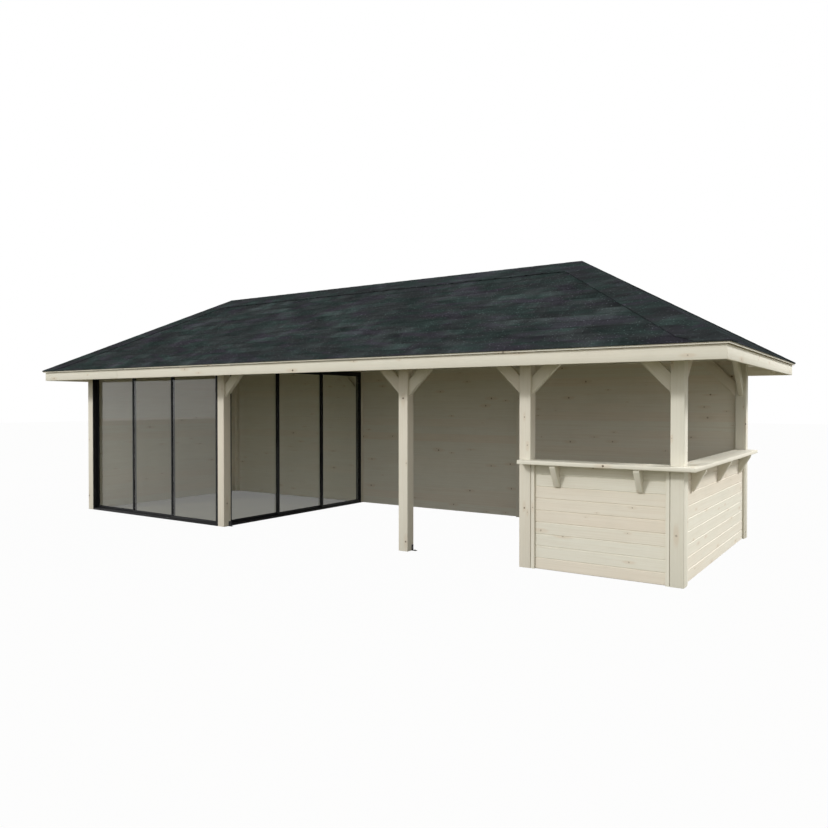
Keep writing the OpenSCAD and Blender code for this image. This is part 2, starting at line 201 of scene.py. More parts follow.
grainShape = {
    "ringStretch": (0.05, 1, 1),
    "ringWave": {"Scale": 40.0, "Distortion": 2.6, "Detail": 2.0, "Detail Scale": 0.5},
    "ringEdge": 2.4,
    "ringShare": 0.55,
    "ringHeight": 0.4,
    "streaks": (2.2, 60, 60),
    "streakEdge": (0.42, 0.72),
    "streakShare": 0.6,
    "fibres": (14, 620, 620),
    "fibreHeight": 0.35,
    "fibreRough": 0.16,
    "clouds": (0.8, 5, 5),
    "cloudSwing": 0.9,
    "warmth": (0.15, 1.1),
    "knotCells": 3.2,  # cells a metre, each with one knot at most
    "knotless": 0.42,  # share of the cells that have none
    "largestKnot": 0.0135,
    "smallestKnot": 0.0004,  # too small to see, but more than nothing, as the distance is divided by it
    "knotWobble": 0.012,
    "wobbleScale": 45.0,
    "knotBrown": (0.30, 0.22, 0.14, 1),
    "knotEdge": (1.0, 0.55),  # in radii of the knot, from outside inwards
    "knotSmooth": 0.14,
    "knotBark": (0.055, 0.045, 0.035, 1),
    "barkEdge": (0.75, 0.35),
    "barkDepth": 0.5,
    "haloStretch": 0.26,
    "haloEdge": (2.3, 0.8),
    "halo": 0.62,
    "haloLate": 0.5,
    "palestKnot": 0.3,
    "roughness": 0.56,
}


def makePlankGrain(values):
    group, given, out = startGroup(
        "plankGrain",
        [("Position", "vector", None), ("Tone", "value", 0.5),
         ("Pale", "colour", (0.7, 0.68, 0.57, 1)), ("Warm", "colour", (0.7, 0.6, 0.5, 1)),
         ("Late", "colour", (0.5, 0.4, 0.3, 1)), ("Figure", "value", 0.3), ("Knots", "value", 1.0)],
        [("Colour", "colour"), ("Roughness", "value"), ("Height", "value")],
    )
    position = given["Position"]
    # growth rings, streaks and fibres are drawn out along the board
    wave = addNode(group, "ShaderNodeTexWave", wave_type="RINGS", rings_direction="X", wave_profile="SIN")
    feed(group, wave.inputs["Vector"], stretched(group, position, values["ringStretch"]))
    setInputs(wave, values["ringWave"])
    rings = mathNode(group, "POWER", wave.outputs["Fac"], values["ringEdge"])
    streaks = noise(group, stretched(group, position, values["streaks"]), 1.0, 3.0)
    fibre = noise(group, stretched(group, position, values["fibres"]), 1.0, 2.0)
    clouds = noise(group, stretched(group, position, values["clouds"]), 1.0, 2.0)
    figure = plus(group, times(group, rings, values["ringShare"]),
                  remap(group, streaks, *values["streakEdge"], 0.0, values["streakShare"]))
    warmth = plus(group, given["Tone"], swing(group, clouds, 0.5, values["cloudSwing"]))
    plain = mixColour(group, remap(group, warmth, *values["warmth"]), given["Pale"], given["Warm"])
    grained = mixColour(group, times(group, figure, given["Figure"], True), plain, given["Late"])

    # knots lie in the cells of a flat pattern, and only some of the cells have one
    x, y, z = splitPosition(group, position)
    wobble = swing(group, noise(group, position, values["wobbleScale"], 1.0), 0.5, values["knotWobble"])
    flat = joinPosition(group, plus(group, x, wobble), plus(group, y, z))
    cells = addNode(group, "ShaderNodeTexVoronoi", voronoi_dimensions="2D", feature="F1")
    feed(group, cells.inputs["Vector"], flat)
    setInputs(cells, {"Scale": values["knotCells"]})
    chance = addNode(group, "ShaderNodeSeparateColor")
    feed(group, chance.inputs[0], cells.outputs["Color"])
    largest = values["largestKnot"] * values["knotCells"]
    radius = remap(group, chance.outputs[0], values["knotless"], 1.0, 0.0, largest, False)
    radius = mathNode(group, "MAXIMUM", times(group, radius, given["Knots"]), values["smallestKnot"])
    near = mathNode(group, "DIVIDE", cells.outputs["Distance"], radius)
    knot = remap(group, near, *values["knotEdge"])
    core = remap(group, near, *values["barkEdge"])
    # the grain around a knot is warmer, in a drawn-out halo
    offset = vectorNode(group, "SUBTRACT", flat, cells.outputs["Position"]).outputs[0]
    drawnOut = stretched(group, offset, (values["haloStretch"] * values["knotCells"], values["knotCells"], 0))
    reach = vectorNode(group, "LENGTH", drawnOut).outputs["Value"]
    halo = remap(group, mathNode(group, "DIVIDE", reach, radius), *values["haloEdge"], 0.0, values["halo"])
    haloed = mixColour(group, halo, grained, given["Warm"])
    haloed = mixColour(group, times(group, halo, values["haloLate"]), haloed, given["Late"])
    dark = remap(group, chance.outputs[1], 0.1, 0.8, values["palestKnot"], 1.0)
    knotted = mixColour(group, times(group, knot, dark), haloed, values["knotBrown"])
    feed(group, out["Colour"], mixColour(group, times(group, core, dark), knotted, values["knotBark"]))
    rough = plus(group, values["roughness"], times(group, fibre, values["fibreRough"]))
    feed(group, out["Roughness"], mathNode(group, "SUBTRACT", rough, times(group, knot, values["knotSmooth"])))
    height = plus(group, times(group, fibre, values["fibreHeight"]), times(group, rings, values["ringHeight"]))
    feed(group, out["Height"], mathNode(group, "SUBTRACT", height, times(group, core, values["barkDepth"])))
    return group


granuleShape = {
    "coolPatches": (2.1, 5.5, 1),
    "coolEdge": (0.42, 0.60),
    "plumPatches": (1.7, 4.2, 1),
    "plumEdge": (0.50, 0.64),
    "plumShare": 0.8,
    "blendRun": 1.5,  # changes a metre along a course
    "blendStep": 9.7,  # how much a blend changes from one course to the next
    "blendEdge": (0.42, 0.74),
    "blendPatches": (0.8, 1.3, 1),
    "patchEdge": (0.36, 0.62),
    "patchLeast": 0.25,
    "blendShare": 0.7,
    "blendMiddle": 0.26,
    "blendLift": 1.6,
    "grains": 330.0,
    "grainRough": 0.18,
    "grainLift": 1.5,
    "blots": (3.4, 9.5, 3),
    "blotLift": 1.5,
    "blotHeight": 0.6,
    "toneLift": 0.4,
    "specks": 58.0,
    "speckEdge": (0.70, 0.78),
    "speckLift": 2.2,
    "roughness": 0.80,
}


def makeGranules(values):
    group, given, out = startGroup(
        "mineralGranules",
        [("Position", "vector", None), ("Tone", "value", 0.5), ("Base", "colour", (0.04, 0.045, 0.047, 1)),
         ("Cool", "colour", (0.03, 0.045, 0.045, 1)), ("Plum", "colour", (0.045, 0.04, 0.055, 1)),
         ("Contrast", "value", 0.5), ("Course", "value", 0.143)],
        [("Colour", "colour"), ("Roughness", "value"), ("Height", "value")],
    )
    position = given["Position"]
    cool = noise(group, stretched(group, position, values["coolPatches"]), 1.0, 3.0)
    plum = noise(group, stretched(group, position, values["plumPatches"]), 1.1, 3.0, 0.5, 0.6)
    plum = times(group, remap(group, plum, *values["plumEdge"]), values["plumShare"])
    hue = mixColour(group, remap(group, cool, *values["coolEdge"]), given["Base"], given["Cool"])
    hue = mixColour(group, plum, hue, given["Plum"])
    # blends of darker and paler granules run along single courses, with soft ends
    x, y = splitPosition(group, position)[:2]
    course = mathNode(group, "SNAP", y, given["Course"])
    run = joinPosition(group, times(group, x, values["blendRun"]), times(group, course, values["blendStep"]))
    patch = noise(group, stretched(group, position, values["blendPatches"]), 1.0, 2.0)
    patch = remap(group, patch, *values["patchEdge"], values["patchLeast"], 1.0)
    blend = times(group, remap(group, noise(group, run, 1.0, 5.0, 0.62), *values["blendEdge"]), patch)
    hue = mixColour(group, times(group, blend, values["blendShare"]), hue, given["Cool"])
    # single granules, blots, whole tabs, blends and bright specks lift the tone
    grains = noise(group, position, values["grains"], 1.0, 0.5)
    blots = noise(group, stretched(group, position, values["blots"]), 1.0, 5.0, 0.6)
    lift = plus(group, swing(group, grains, 0.5, values["grainLift"]), swing(group, blots, 0.5, values["blotLift"]))
    lift = plus(group, lift, swing(group, given["Tone"], 0.5, values["toneLift"]))
    lift = plus(group, lift, swing(group, blend, values["blendMiddle"], values["blendLift"]))
    specks = noise(group, position, values["specks"], 0.0)
    lift = plus(group, lift, remap(group, specks, *values["speckEdge"], 0.0, values["speckLift"]))
    factor = plus(group, 1.0, times(group, lift, given["Contrast"]))
    shade = addNode(group, "ShaderNodeCombineColor")
    for socket in shade.inputs[:3]:
        feed(group, socket, factor)
    feed(group, out["Colour"], mixColour(group, 1.0, hue, shade.outputs[0], "MULTIPLY"))
    feed(group, out["Roughness"], plus(group, values["roughness"], times(group, grains, values["grainRough"])))
    feed(group, out["Height"], plus(group, grains, times(group, blots, values["blotHeight"])))
    return group


unevenTone = makeUnevenTone(stainShape)
plankGrain = makePlankGrain(grainShape)
granules = makeGranules(granuleShape)
print("shader groups made")


# Materials

def startMaterial(name):
    material = bpy.data.materials.new(name)
    material.use_nodes = True
    tree = material.node_tree
    tree.nodes.clear()
    output = addNode(tree, "ShaderNodeOutputMaterial")
    shader = addNode(tree, "ShaderNodeBsdfPrincipled")
    tree.links.new(shader.outputs[0], output.inputs[0])
    return material, tree, shader


def readAttribute(tree, name, kind="Vector"):
    node = addNode(tree, "ShaderNodeAttribute", attribute_name=name, attribute_type="GEOMETRY")
    return node.outputs[kind]


def bump(tree, shader, height, strength, depth):
    node = addNode(tree, "ShaderNodeBump")
    setInputs(node, {"Strength": strength, "Distance": depth})
    feed(tree, node.inputs["Height"], height)
    tree.links.new(node.outputs[0], shader.inputs["Normal"])


def rayMask(tree, *kinds):
    path = addNode(tree, "ShaderNodeLightPath")
    mask = path.outputs[kinds[0]]
    for kind in kinds[1:]:
        mask = mathNode(tree, "MAXIMUM", mask, path.outputs[kind])
    return mask


def mixShaders(tree, share, first, second):
    mix = addNode(tree, "ShaderNodeMixShader")
    feed(tree, mix.inputs[0], share)
    tree.links.new(first.outputs[0], mix.inputs[1])
    tree.links.new(second.outputs[0], mix.inputs[2])
    output = next(n for n in tree.nodes if n.bl_idname.startswith("ShaderNodeOutput"))
    tree.links.new(mix.outputs[0], output.inputs[0])


timberFinish = {
    "pale": (0.726, 0.701, 0.603, 1),
    "warm": (0.735, 0.665, 0.558, 1),
    "late": (0.56, 0.47, 0.34, 1),
    "stain": (0.55, 0.53, 0.44, 1),
    "figure": 0.24,
    "knots": 1.25,
    "beamFigure": 0.20,
    "beamKnots": 1.35,
    "staining": 0.14,
    "specular": 0.35,
    "bump": 0.35,
    "bumpDepth": 0.0006,
}


def makeTimber(name, values, figure, knots):
    material, tree, shader = startMaterial(name)
    position = readAttribute(tree, "grainPos")
    wood = placeGroup(
        tree, plankGrain, Position=position, Tone=readAttribute(tree, "tone", "Fac"),
        Pale=values["pale"], Warm=values["warm"], Late=values["late"], Figure=figure, Knots=knots,
    )
    worn = placeGroup(tree, unevenTone, Colour=wood["Colour"], Position=position, Stain=values["stain"],
                      Amount=values["staining"])
    feed(tree, shader.inputs["Base Color"], worn["Colour"])
    feed(tree, shader.inputs["Roughness"], wood["Roughness"])
    setInputs(shader, {"Specular IOR Level": values["specular"]})
    bump(tree, shader, wood["Height"], values["bump"], values["bumpDepth"])
    return material


roofFinish = {
    "base": (0.0310, 0.0345, 0.0355, 1),
    "cool": (0.0255, 0.0370, 0.0350, 1),
    "plum": (0.0355, 0.0315, 0.0415, 1),
    "capBase": (0.0255, 0.0272, 0.0288, 1),
    "stain": (0.017, 0.020, 0.021, 1),
    "contrast": 0.70,
    "course": 0.143,
    "capContrast": 0.50,
    "capCourse": 0.05,
    "staining": 0.45,
    "specular": 0.0,
    "bump": 0.6,
    "bumpDepth": 0.0012,
}


def makeRoofing(name, values, base, contrast, course):
    material, tree, shader = startMaterial(name)
    position = readAttribute(tree, "grainPos")
    cover = placeGroup(
        tree, granules, Position=position, Tone=readAttribute(tree, "tone", "Fac"),
        Base=base, Cool=values["cool"], Plum=values["plum"], Contrast=contrast, Course=course,
    )
    worn = placeGroup(tree, unevenTone, Colour=cover["Colour"], Position=position, Stain=values["stain"],
                      Amount=values["staining"])
    feed(tree, shader.inputs["Base Color"], worn["Colour"])
    feed(tree, shader.inputs["Roughness"], cover["Roughness"])
    setInputs(shader, {"Specular IOR Level": values["specular"]})
    bump(tree, shader, cover["Height"], values["bump"], values["bumpDepth"])
    return material


metalFinish = {
    "anthracite": {"colour": (0.0115, 0.0115, 0.0125, 1), "dust": (0.05, 0.05, 0.048, 1), "roughness": 0.46,
                   "specular": 0.16, "metallic": 0.0, "dusting": 0.10, "orangePeel": 700.0, "height": 0.08},
    "bracketSteel": {"colour": (0.045, 0.045, 0.047, 1), "dust": (0.16, 0.14, 0.12, 1), "roughness": 0.36,
                     "specular": 0.5, "metallic": 0.6, "dusting": 0.25, "orangePeel": 380.0, "height": 0.15},
    "brushSeal": {"colour": (0.012, 0.012, 0.012, 1), "dust": (0.05, 0.05, 0.05, 1), "roughness": 0.75,
                  "specular": 0.2, "metallic": 0.0, "dusting": 0.2, "orangePeel": 900.0, "height": 0.3},
}

coatWear = {"smoother": 0.06, "rougher": 0.16, "peelDepth": 0.0004}


def makeCoated(name, values):
    material, tree, shader = startMaterial(name)
    position = readAttribute(tree, "grainPos")
    dusty = placeGroup(tree, unevenTone, Colour=values["colour"], Position=position, Stain=values["dust"],
                       Amount=values["dusting"])
    peel = noise(tree, position, values["orangePeel"], 1.0)
    feed(tree, shader.inputs["Base Color"], dusty["Colour"])
    rough = times(tree, dusty["Mask"], coatWear["rougher"])
    feed(tree, shader.inputs["Roughness"], plus(tree, rough, values["roughness"] - coatWear["smoother"]))
    setInputs(shader, {"Metallic": values["metallic"], "Specular IOR Level": values["specular"]})
    bump(tree, shader, peel, values["height"], coatWear["peelDepth"])
    return material


paneFinish = {"tint": (0.98, 0.985, 0.97, 1), "smear": 0.035, "smearScale": 2.3, "smearEdge": (0.50, 0.74),
              "ior": 1.50, "shadow": (0.92, 0.93, 0.915, 1)}


def makePane(name, values):
    material, tree, shader = startMaterial(name)
    position = addNode(tree, "ShaderNodeTexCoord").outputs["Object"]
    smears = noise(tree, position, values["smearScale"], 4.0, 0.6, 0.4)
    smears = remap(tree, smears, *values["smearEdge"], 0.0, values["smear"])
    feed(tree, shader.inputs["Roughness"], smears)
    setInputs(shader, {"Base Color": values["tint"], "IOR": values["ior"], "Transmission Weight": 1.0})
    clear = addNode(tree, "ShaderNodeBsdfTransparent")
    clear.inputs[0].default_value = values["shadow"]
    mixShaders(tree, rayMask(tree, "Is Shadow Ray", "Is Diffuse Ray"), shader, clear)
    return material


boardTimber = makeTimber("spruceBoards", timberFinish, timberFinish["figure"], timberFinish["knots"])
beamTimber = makeTimber("spruceBeams", timberFinish, timberFinish["beamFigure"], timberFinish["beamKnots"])
shingleCover = makeRoofing("slateShingles", roofFinish, roofFinish["base"], roofFinish["contrast"],
                           roofFinish["course"])
capCover = makeRoofing("slateCaps", roofFinish, roofFinish["capBase"], roofFinish["capContrast"],
                       roofFinish["capCourse"])
anthracite = makeCoated("anthraciteAluminium", metalFinish["anthracite"])
bracketSteel = makeCoated("blackSteel", metalFinish["bracketSteel"])
brushSeal = makeCoated("brushSeal", metalFinish["brushSeal"])
paneGlass = makePane("paneGlass", paneFinish)
print("materials made")


# Mesh helpers: a bundle gathers solids, each with its own grain and tone

def newBundle():
    return {"points": [], "faces": [], "grain": [], "tone": []}


def addSolid(bundle, points, faces, grain, tone):
    start = len(bundle["points"])
    bundle["points"] += [tuple(p) for p in points]
    bundle["faces"] += [tuple(start + i for i in face) for face in faces]
    bundle["grain"] += [tuple(g) for g in grain]
    bundle["tone"] += [tone] * len(points)


def prismFaces(count):
    sides = [(i, (i + 1) % count, count + (i + 1) % count, count + i) for i in range(count)]
    return sides + [tuple(range(count - 1, -1, -1)), tuple(range(count, 2 * count))]


def writeAttributes(mesh, grain, tone):
    grainLayer = mesh.attributes.new("grainPos", "FLOAT_VECTOR", "POINT")
    grainLayer.data.foreach_set("vector", [c for g in grain for c in g])
    toneLayer = mesh.attributes.new("tone", "FLOAT", "POINT")
    toneLayer.data.foreach_set("value", list(tone))


def pieceTitle(nodeName, ending):
    words = nodeName.split("_")
    return words[0] + "".join(word.capitalize() for word in words[1:]) + ending


def putInScene(name, mesh, material, body, replaced=()):
    mesh.materials.clear()
    mesh.materials.append(material)
    piece = bpy.data.objects.new(name, mesh)
    bpy.context.scene.collection.objects.link(piece)
    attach(piece, body)
    if replaced:
        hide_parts(*replaced)


def bundlePiece(name, bundle, material, body, replaced=()):
    mesh = bpy.data.meshes.new(name)
    mesh.from_pydata(bundle["points"], [], bundle["faces"])
    writeAttributes(mesh, bundle["grain"], bundle["tone"])
    work = bmesh.new()
    work.from_mesh(mesh)
    bmesh.ops.recalc_face_normals(work, faces=work.faces)
    work.to_mesh(mesh)
    work.free()
    putInScene(name, mesh, material, body, replaced)


def looseParts(work):
    seen, parts = set(), []
    for first in work.verts:
        if first.index in seen:
            continue
        seen.add(first.index)
        stack, part = [first], []
        while stack:
            vert = stack.pop()
            part.append(vert)
            for edge in vert.link_edges:
                other = edge.other_vert(vert)
                if other.index not in seen:
                    seen.add(other.index)
                    stack.append(other)
        parts.append(part)
    return parts


def grainFrame(along):
    axes = [Vector((1, 0, 0)), Vector((0, 1, 0)), Vector((0, 0, 1))]
    axis = min(axes, key=lambda a: abs(a.dot(along)))
    across = (axis - along * axis.dot(along)).normalized()
    return across, along.cross(across)


def middleOf(part):
    return sum((v.co for v in part), Vector()) / len(part)


# where in the log a board's grain is taken from, and how warm its tone is: most boards are pale, a few warmer
boardDraw = {"along": 60, "aside": 0.04, "deep": (0.03, 0.09), "skew": 1.4}


def drawGrain(rng):
    aside = boardDraw["aside"]
    return rng.uniform(0, boardDraw["along"]), rng.uniform(-aside, aside), rng.uniform(*boardDraw["deep"])


def drawTone(rng, spread):
    return rng.random() ** boardDraw["skew"] * spread


# The planed timbers and the metal profiles keep their solid's shape, with eased edges

softening = {"merge": 1e-5, "flat": 0.6, "smooth": 38, "segments": 2, "grainRun": 40, "grainSide": 0.09,
             "toneSpread": 0.8}


def softened(nodeName, ease, material, body, seed, minAngle=25):
    mesh = nodes[nodeName].data.copy()
    mesh.name = nodeName
    work = bmesh.new()
    work.from_mesh(mesh)
    bmesh.ops.remove_doubles(work, verts=work.verts, dist=softening["merge"])
    bmesh.ops.dissolve_limit(work, angle_limit=math.radians(softening["flat"]), verts=work.verts, edges=work.edges)
    limit = math.radians(minAngle)
    sharp = [e for e in work.edges if len(e.link_faces) == 2 and e.calc_face_angle(0) > limit]
    bmesh.ops.bevel(work, geom=sharp, offset=ease, offset_type="OFFSET", segments=softening["segments"], profile=0.5,
                    affect="EDGES", clamp_overlap=True, loop_slide=True)
    work.verts.index_update()
    rng = random.Random(seed)
    side = softening["grainSide"]
    grain = [None] * len(work.verts)
    tone = [0.5] * len(work.verts)
    parts = looseParts(work)
    parts.sort(key=lambda part: tuple(round(c, 4) for c in middleOf(part)))
    for part in parts:
        # the grain runs along the longest edge
        longest = max((e for v in part for e in v.link_edges), key=lambda e: round(e.calc_length(), 5))
        along = (longest.verts[1].co - longest.verts[0].co).normalized()
        if sum(along) < 0:
            along = -along
        across, normal = grainFrame(along)
        middle = middleOf(part)
        shift = Vector((rng.uniform(0, softening["grainRun"]), rng.uniform(-side, side), rng.uniform(-side, side)))
        partTone = drawTone(rng, softening["toneSpread"])
        for v in part:
            off = v.co - middle
            grain[v.index] = (off.dot(along) + shift[0], off.dot(across) + shift[1], off.dot(normal) + shift[2])
            tone[v.index] = partTone
    work.to_mesh(mesh)
    work.free()
    writeAttributes(mesh, grain, tone)
    mesh.shade_smooth()
    mesh.set_sharp_from_angle(angle=math.radians(softening["smooth"]))
    putInScene(pieceTitle(nodeName, "Shape"), mesh, material, body, [nodeName])


easedEdges = {"posts": 0.0012, "beams": 0.003, "braces": 0.003, "barTop": 0.0035, "brackets": 0.003,
              "rafters": 0.002, "ridge": 0.002, "fascia": 0.0025, "aluminium": 0.0008, "steel": 0.0006}

timberNodes = {
    "front_post_1": "posts", "front_post_2": "posts", "front_post_3": "posts", "front_post_4": "posts",
    "front_post_5": "posts", "back_posts": "posts", "front_beam": "beams", "back_beam": "beams",
    "cross_beams": "beams", "braces": "braces", "front_bar_top": "barTop",
    "side_bar_top": "barTop", "bar_brackets": "brackets", "ridge_beam": "ridge", "hip_rafters": "rafters",
    "front_rafters": "rafters", "back_rafters": "rafters", "end_rafters": "rafters", "long_fascias": "fascia",
    "end_fascias": "fascia",
}
for count, (nodeName, kind) in enumerate(timberNodes.items()):
    softened(nodeName, easedEdges[kind], beamTimber, "house", 100 + count)
print("timbers eased:", len(timberNodes))

metalNodes = {
    "glass_wall_jambs": "house", "glass_wall_heads": "house", "glass_wall_sills": "house",
    "fixed_leaf_frames": "house",
    "front_middle_leaf_frame": "front_middle_leaf", "front_end_leaf_frame": "front_end_leaf",
    "side_middle_leaf_frame": "side_middle_leaf", "side_end_leaf_frame": "side_end_leaf",
}
for count, (nodeName, body) in enumerate(metalNodes.items()):
    softened(nodeName, easedEdges["aluminium"], anthracite, body, 200 + count, minAngle=40)
softened("foot_brackets", easedEdges["steel"], bracketSteel, "house", 300)
print("metal profiles eased:", len(metalNodes) + 1)

for nodeName in ("fixed_leaf_panes", "front_middle_leaf_pane", "front_end_leaf_pane", "side_middle_leaf_pane",
                 "side_end_leaf_pane"):
    for entry in nodes[nodeName].material_slots:
        entry.link = "OBJECT"
        entry.material = paneGlass
print("panes glazed")


# Boarded walls: tongued and grooved boards that lie flat, with a V groove at each joint

boardedWalls = {
    "firstJoint": 0.110,
    "pitch": 0.1165,
    "chamfer": 0.0050,
    "innerChamfer": 0.0012,
    "narrowest": 0.02,
    "toneSpread": 0.95,
}


def boardSection(low, high, near, far, outer, inner):
    a = min(outer, (high - low) / 3)
    b = min(inner, (high - low) / 3)
    return [(low + a, near), (high - a, near), (high, near + a), (high, far - b), (high - b, far), (low + b, far),
            (low, far - b), (low, near + a)]


def addBoards(bundle, start, along, outward, length, height, thick, rng, values):
    joints = [0.0]
    level = values["firstJoint"]
    while level < height - values["narrowest"]:
        joints.append(level)
        level += values["pitch"]
    joints.append(height)
    for low, high in zip(joints, joints[1:]):
        section = boardSection(low, high, 0, thick, values["chamfer"], values["innerChamfer"])
        points, grain = [], []
        shift = drawGrain(rng)
        for end in (0.0, length):
            for up, deep in section:
                points.append(start + along * end - outward * deep + Vector((0, 0, up)))
                grain.append((end + shift[0], up - (low + high) / 2 + shift[1], deep + shift[2]))
        addSolid(bundle, points, prismFaces(len(section)), grain, drawTone(rng, values["toneSpread"]))


def wallBundle(seed, spans, values):
    rng = random.Random(seed)
    bundle = newBundle()
    for low, high, outward in spans:
        outward = Vector(outward)
        along = Vector((0, 1, 0)) if outward.x else Vector((1, 0, 0))
        thick = (high - low).dot(Vector((abs(outward.x), abs(outward.y), 0)))
        start = Vector((high.x if outward.x > 0 else low.x, high.y if outward.y > 0 else low.y, low.z))
        addBoards(bundle, start, along, outward, (high - low).dot(along), high.z - low.z, thick, rng, values)
    return bundle


def solidBoxes(nodeName):
    work = bmesh.new()
    work.from_mesh(nodes[nodeName].data)
    bmesh.ops.remove_doubles(work, verts=work.verts, dist=softening["merge"])
    work.verts.index_update()
    boxes = []
    for part in looseParts(work):
        low = Vector([min(v.co[i] for v in part) for i in range(3)])
        high = Vector([max(v.co[i] for v in part) for i in range(3)])
        boxes.append((low, high))
    work.free()
    boxes.sort(key=lambda b: (round(b[0].x, 3), round(b[0].y, 3)))
    return boxes


backSpans = [(low, high, (0, 1, 0)) for low, high in solidBoxes("back_walls")]
leftSpans = [(low, high, (-1, 0, 0)) for low, high in solidBoxes("left_wall")]
barSpans = [(low, high, (0, -1, 0) if high.x - low.x > high.y - low.y else (1, 0, 0))
            for low, high in solidBoxes("bar_panels")]
for name, spans, seed, nodeName in (("backWallBoards", backSpans, 11, "back_walls"),
                                    ("leftWallBoards", leftSpans, 12, "left_wall"),
                                    ("barBoards", barSpans, 13, "bar_panels")):
    bundlePiece(name, wallBundle(seed, spans, boardedWalls), boardTimber, "house", [nodeName])
print("walls boarded")


# Battens: planed laths at the ends of the walls, a shadow gap clear of their posts

battenLaths = {"shadowGap": 0.005, "chamfer": 0.002, "tone": 0.5, "sameFace": 0.001, "shortestWall": 0.9}


def battenBundle(values, seed):
    rng = random.Random(seed)
    bundle = newBundle()
    laths = solidBoxes("battens")
    for low, high in laths:
        across = 0 if high.x - low.x > high.y - low.y else 1
        through = 1 - across
        middle = (low[across] + high[across]) / 2
        # the nearest lath further along the same face shows on which side of this one its wall lies
        spots = [(a[across] + b[across]) / 2 for a, b in laths
                 if abs(a[through] - low[through]) < values["sameFace"]]
        partner = min((abs(s - middle), s) for s in spots if abs(s - middle) > values["shortestWall"])[1]
        left, right = low[across], high[across]
        if partner > middle:
            left += values["shadowGap"]
        else:
            right -= values["shadowGap"]
        near, far = low[through], high[through]
        section = boardSection(left, right, near, far, values["chamfer"], values["chamfer"])
        shift = drawGrain(rng)
        points, grain = [], []
        for z in (low.z, high.z):
            for u, v in section:
                points.append((u, v, z) if across == 0 else (v, u, z))
                grain.append((z + shift[0], u - middle + shift[1], v - near + shift[2]))
        addSolid(bundle, points, prismFaces(len(section)), grain, rng.random() * values["tone"])
    return bundle


bundlePiece("battenLaths", battenBundle(battenLaths, 14), beamTimber, "house", ["battens"])
print("battens set")


# Roof: the same four slopes as the solids, each with x along the eave and y inwards from the shingles' edge

shingleLow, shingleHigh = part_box("front_shingles")
roofShape = {
    "pitch": math.radians(30),
    "halfLong": -shingleLow[0],
    "halfShort": -shingleLow[1],
    "shingle": 0.006,
    "board": 0.018,
    "drip": 0.010,
    "cap": 0.008,
    "capWidth": 0.250,
    "play": 0.0002,
    "tip": 0.0005,  # half the width at which a triangular slope ends
}
roofShape["rise"] = math.tan(roofShape["pitch"])
roofShape["ridgeHalf"] = roofShape["halfLong"] - roofShape["halfShort"]
for key in ("shingle", "board", "cap"):
    roofShape[key + "Plumb"] = roofShape[key] / math.cos(roofShape["pitch"])
roofShape["eaveZ"] = shingleHigh[2] - roofShape["halfShort"] * roofShape["rise"]
print("roof edge", roofShape["halfLong"], roofShape["halfShort"], "eave", round(roofShape["eaveZ"], 4))


def slopePoint(side, x, y, down):
    z = roofShape["eaveZ"] + y * roofShape["rise"] - down
    if side == "front":
        return (x, y - roofShape["halfShort"], z)
    if side == "back":
        return (-x, roofShape["halfShort"] - y, z)
    if side == "right":
        return (roofShape["halfLong"] - y, x, z)
    return (y - roofShape["halfLong"], -x, z)


def slopeHalf(side):
    return roofShape["halfLong"] if side in ("front", "back") else roofShape["halfShort"]


def acrossSlope(half, section):
    return [(end * max(half - y, roofShape["tip"]), y, down) for end in (-1, 1) for y, down in section]


def layOnSlopes(addCover, values, nodeEnding, pieceEnding, material, firstSeed):
    for count, (name, sides) in enumerate((("front", ["front"]), ("back", ["back"]), ("end", ["right", "left"]))):
        rng = random.Random(firstSeed + count)
        bundle = newBundle()
        for side in sides:
            addCover(bundle, side, values, rng)
        bundlePiece(name + pieceEnding, bundle, material, "house", [name + nodeEnding])


roofBoards = {"pitch": 0.116, "chamfer": 0.003, "sliver": 0.0001, "narrowest": 0.02, "toneSpread": 1.0}


def addRoofBoards(bundle, side, values, rng):
    cosine = math.cos(roofShape["pitch"])
    top = roofShape["shinglePlumb"] + roofShape["play"]
    under = top + roofShape["boardPlumb"]
    half = slopeHalf(side) - roofShape["play"]
    depth = min(roofShape["halfShort"], half)
    step = values["pitch"] * cosine
    ease = values["chamfer"] * cosine
    edge = roofShape["drip"]
    while edge < depth:
        inner = min(edge + step, depth)
        if depth - inner < values["narrowest"]:
            inner = depth
        outerEase = 0.0 if edge == roofShape["drip"] else ease  # the outermost edge is square, against the fascia
        section = [(edge, top), (inner, top), (inner, under - ease), (max(inner - ease, edge), under),
                   (min(edge + outerEase + values["sliver"], inner), under),
                   (edge, under - outerEase - values["sliver"])]
        shift = drawGrain(rng)
        spots = acrossSlope(half, section)
        points = [slopePoint(side, x, y, down) for x, y, down in spots]
        grain = [(x + shift[0], (y - edge) / cosine + shift[1], down + shift[2]) for x, y, down in spots]
        addSolid(bundle, points, prismFaces(len(section)), grain, drawTone(rng, values["toneSpread"]))
        edge = inner


layOnSlopes(addRoofBoards, roofBoards, "_roof_boards", "RoofBoards", boardTimber, 21)
print("roof boarded")


# Shingles: a thin underlay with rows of tabs on it, each thicker at its lower edge

shingleRows = {
    "exposure": 0.143,
    "lap": 0.004,
    "lastRow": 0.01,
    "tab": 0.333,
    "tabSpread": 0.09,
    "narrowest": 0.02,
    "startSpread": 0.03,
    "slot": 0.002,
    "butt": 0.0034,
    "sunk": 0.0027,
    "sunkSkew": 0.8,
    "underlay": 0.0016,
    "underlayTone": 0.2,
    "clear": 0.0001,  # from the underlay to a tab's lower face
    "point": 0.002,  # no tab goes where the slope is narrower
    "unevenEdge": 0.004,
    "toneSpread": 0.24,
}
tabFaces = [(0, 1, 2, 3), (7, 6, 5, 4), (0, 4, 5, 1), (1, 5, 6, 2), (2, 6, 7, 3), (3, 7, 4, 0)]


